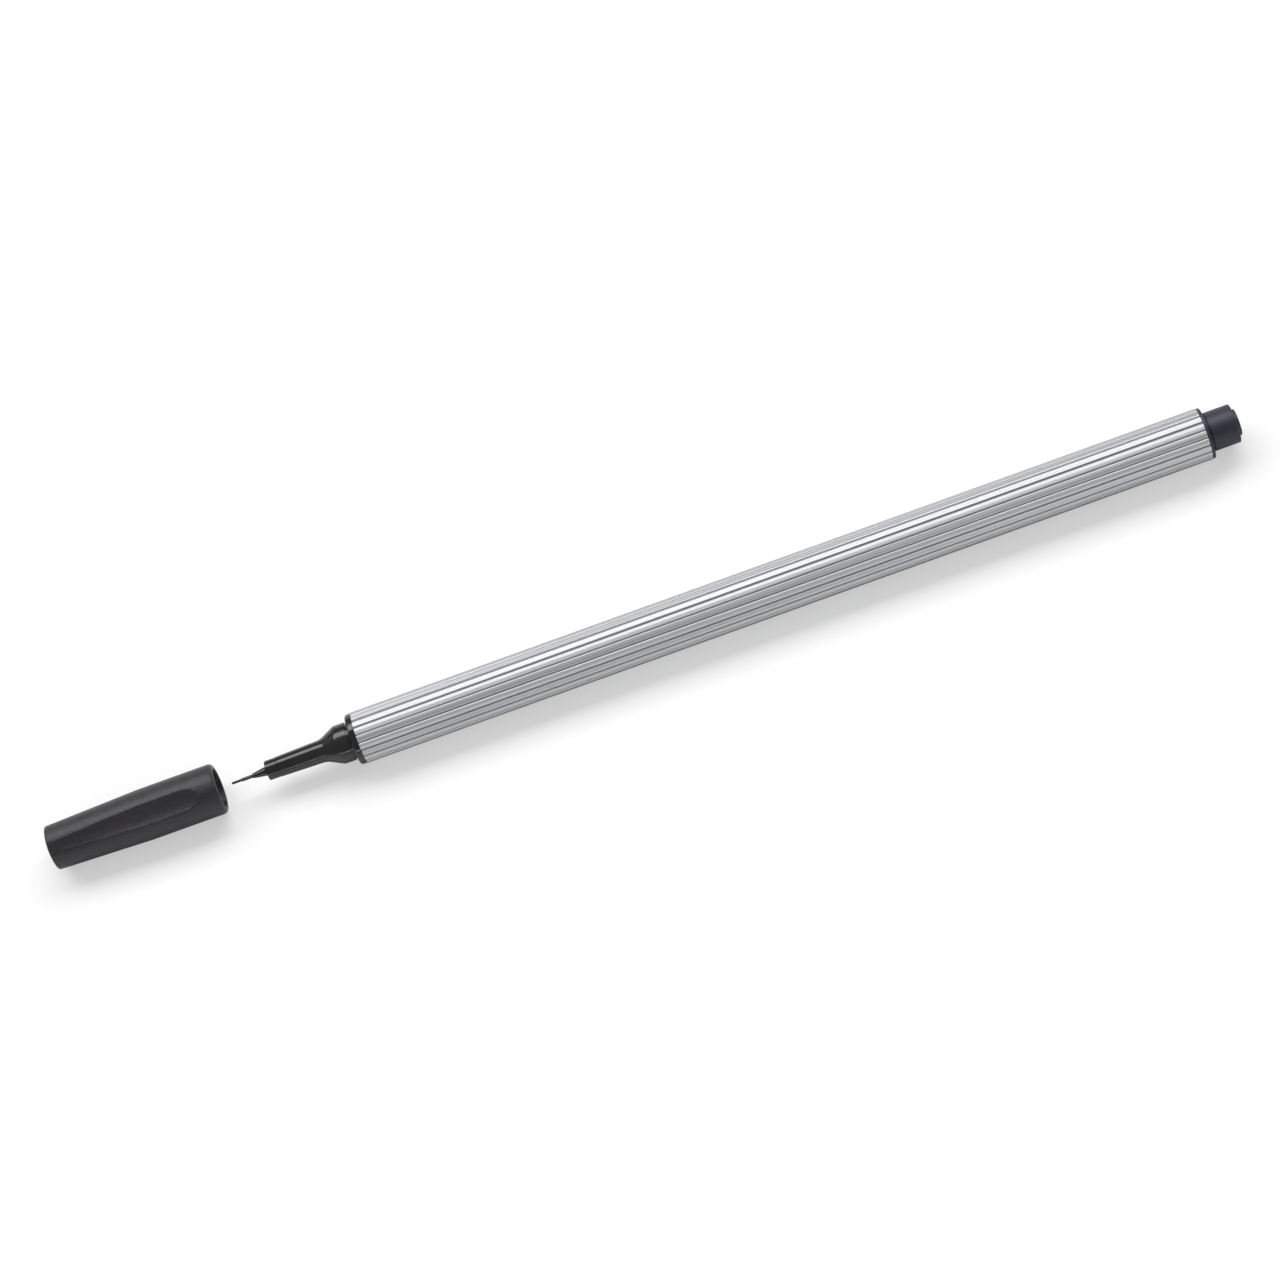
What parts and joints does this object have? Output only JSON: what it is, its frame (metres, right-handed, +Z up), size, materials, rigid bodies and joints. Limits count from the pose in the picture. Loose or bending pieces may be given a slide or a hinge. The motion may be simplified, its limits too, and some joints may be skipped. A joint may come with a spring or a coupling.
{
  "type": "fineliner pen",
  "caption": "Slim round fineliner pen with a straight-ribbed silver barrel, stepped black nose with a fine metal-sleeved point, rear post, and a scooped pull-off cap.",
  "frame": {"origin": "on the surface the pen lies on, under the middle of the whole length with the cap pulled off in line", "axes": "+X along the pen from the point to the rear end, +Z up from the surface, +Y across the pen"},
  "size_m": [0.1898, 0.008, 0.008],
  "materials": {
    "barrel_silver": "satin silver with a metallic pigment, straight ribs",
    "black_gloss": "polished black moulding",
    "sleeve_metal": "drawn metal tube",
    "nib_fibre": "ink-soaked capillary rod",
    "reservoir_fibre": "bonded fibre, soaked in ink",
    "wrap_film": "thin wrapping film",
    "plug_charcoal": "satin dark charcoal moulding",
    "cap_charcoal": "fine-grained dark charcoal moulding",
    "liner_black": "plain black moulding"
  },
  "bodies": {
    "pen": {"barrel": "barrel_silver", "front_section": "black_gloss", "tip_holder": "black_gloss", "tip_sleeve": "sleeve_metal", "nib": "nib_fibre", "ink_reservoir": "reservoir_fibre", "reservoir_wrap": "wrap_film", "end_plug": "plug_charcoal"},
    "cap": {"cap": "cap_charcoal", "cap_liner": "liner_black"}
  },
  "joints": [
    {"name": "cap_slide", "type": "slide", "parent": "pen", "child": "cap", "axis": [1, 0, 0], "range_m": [0, 0.02125]}
  ]
}
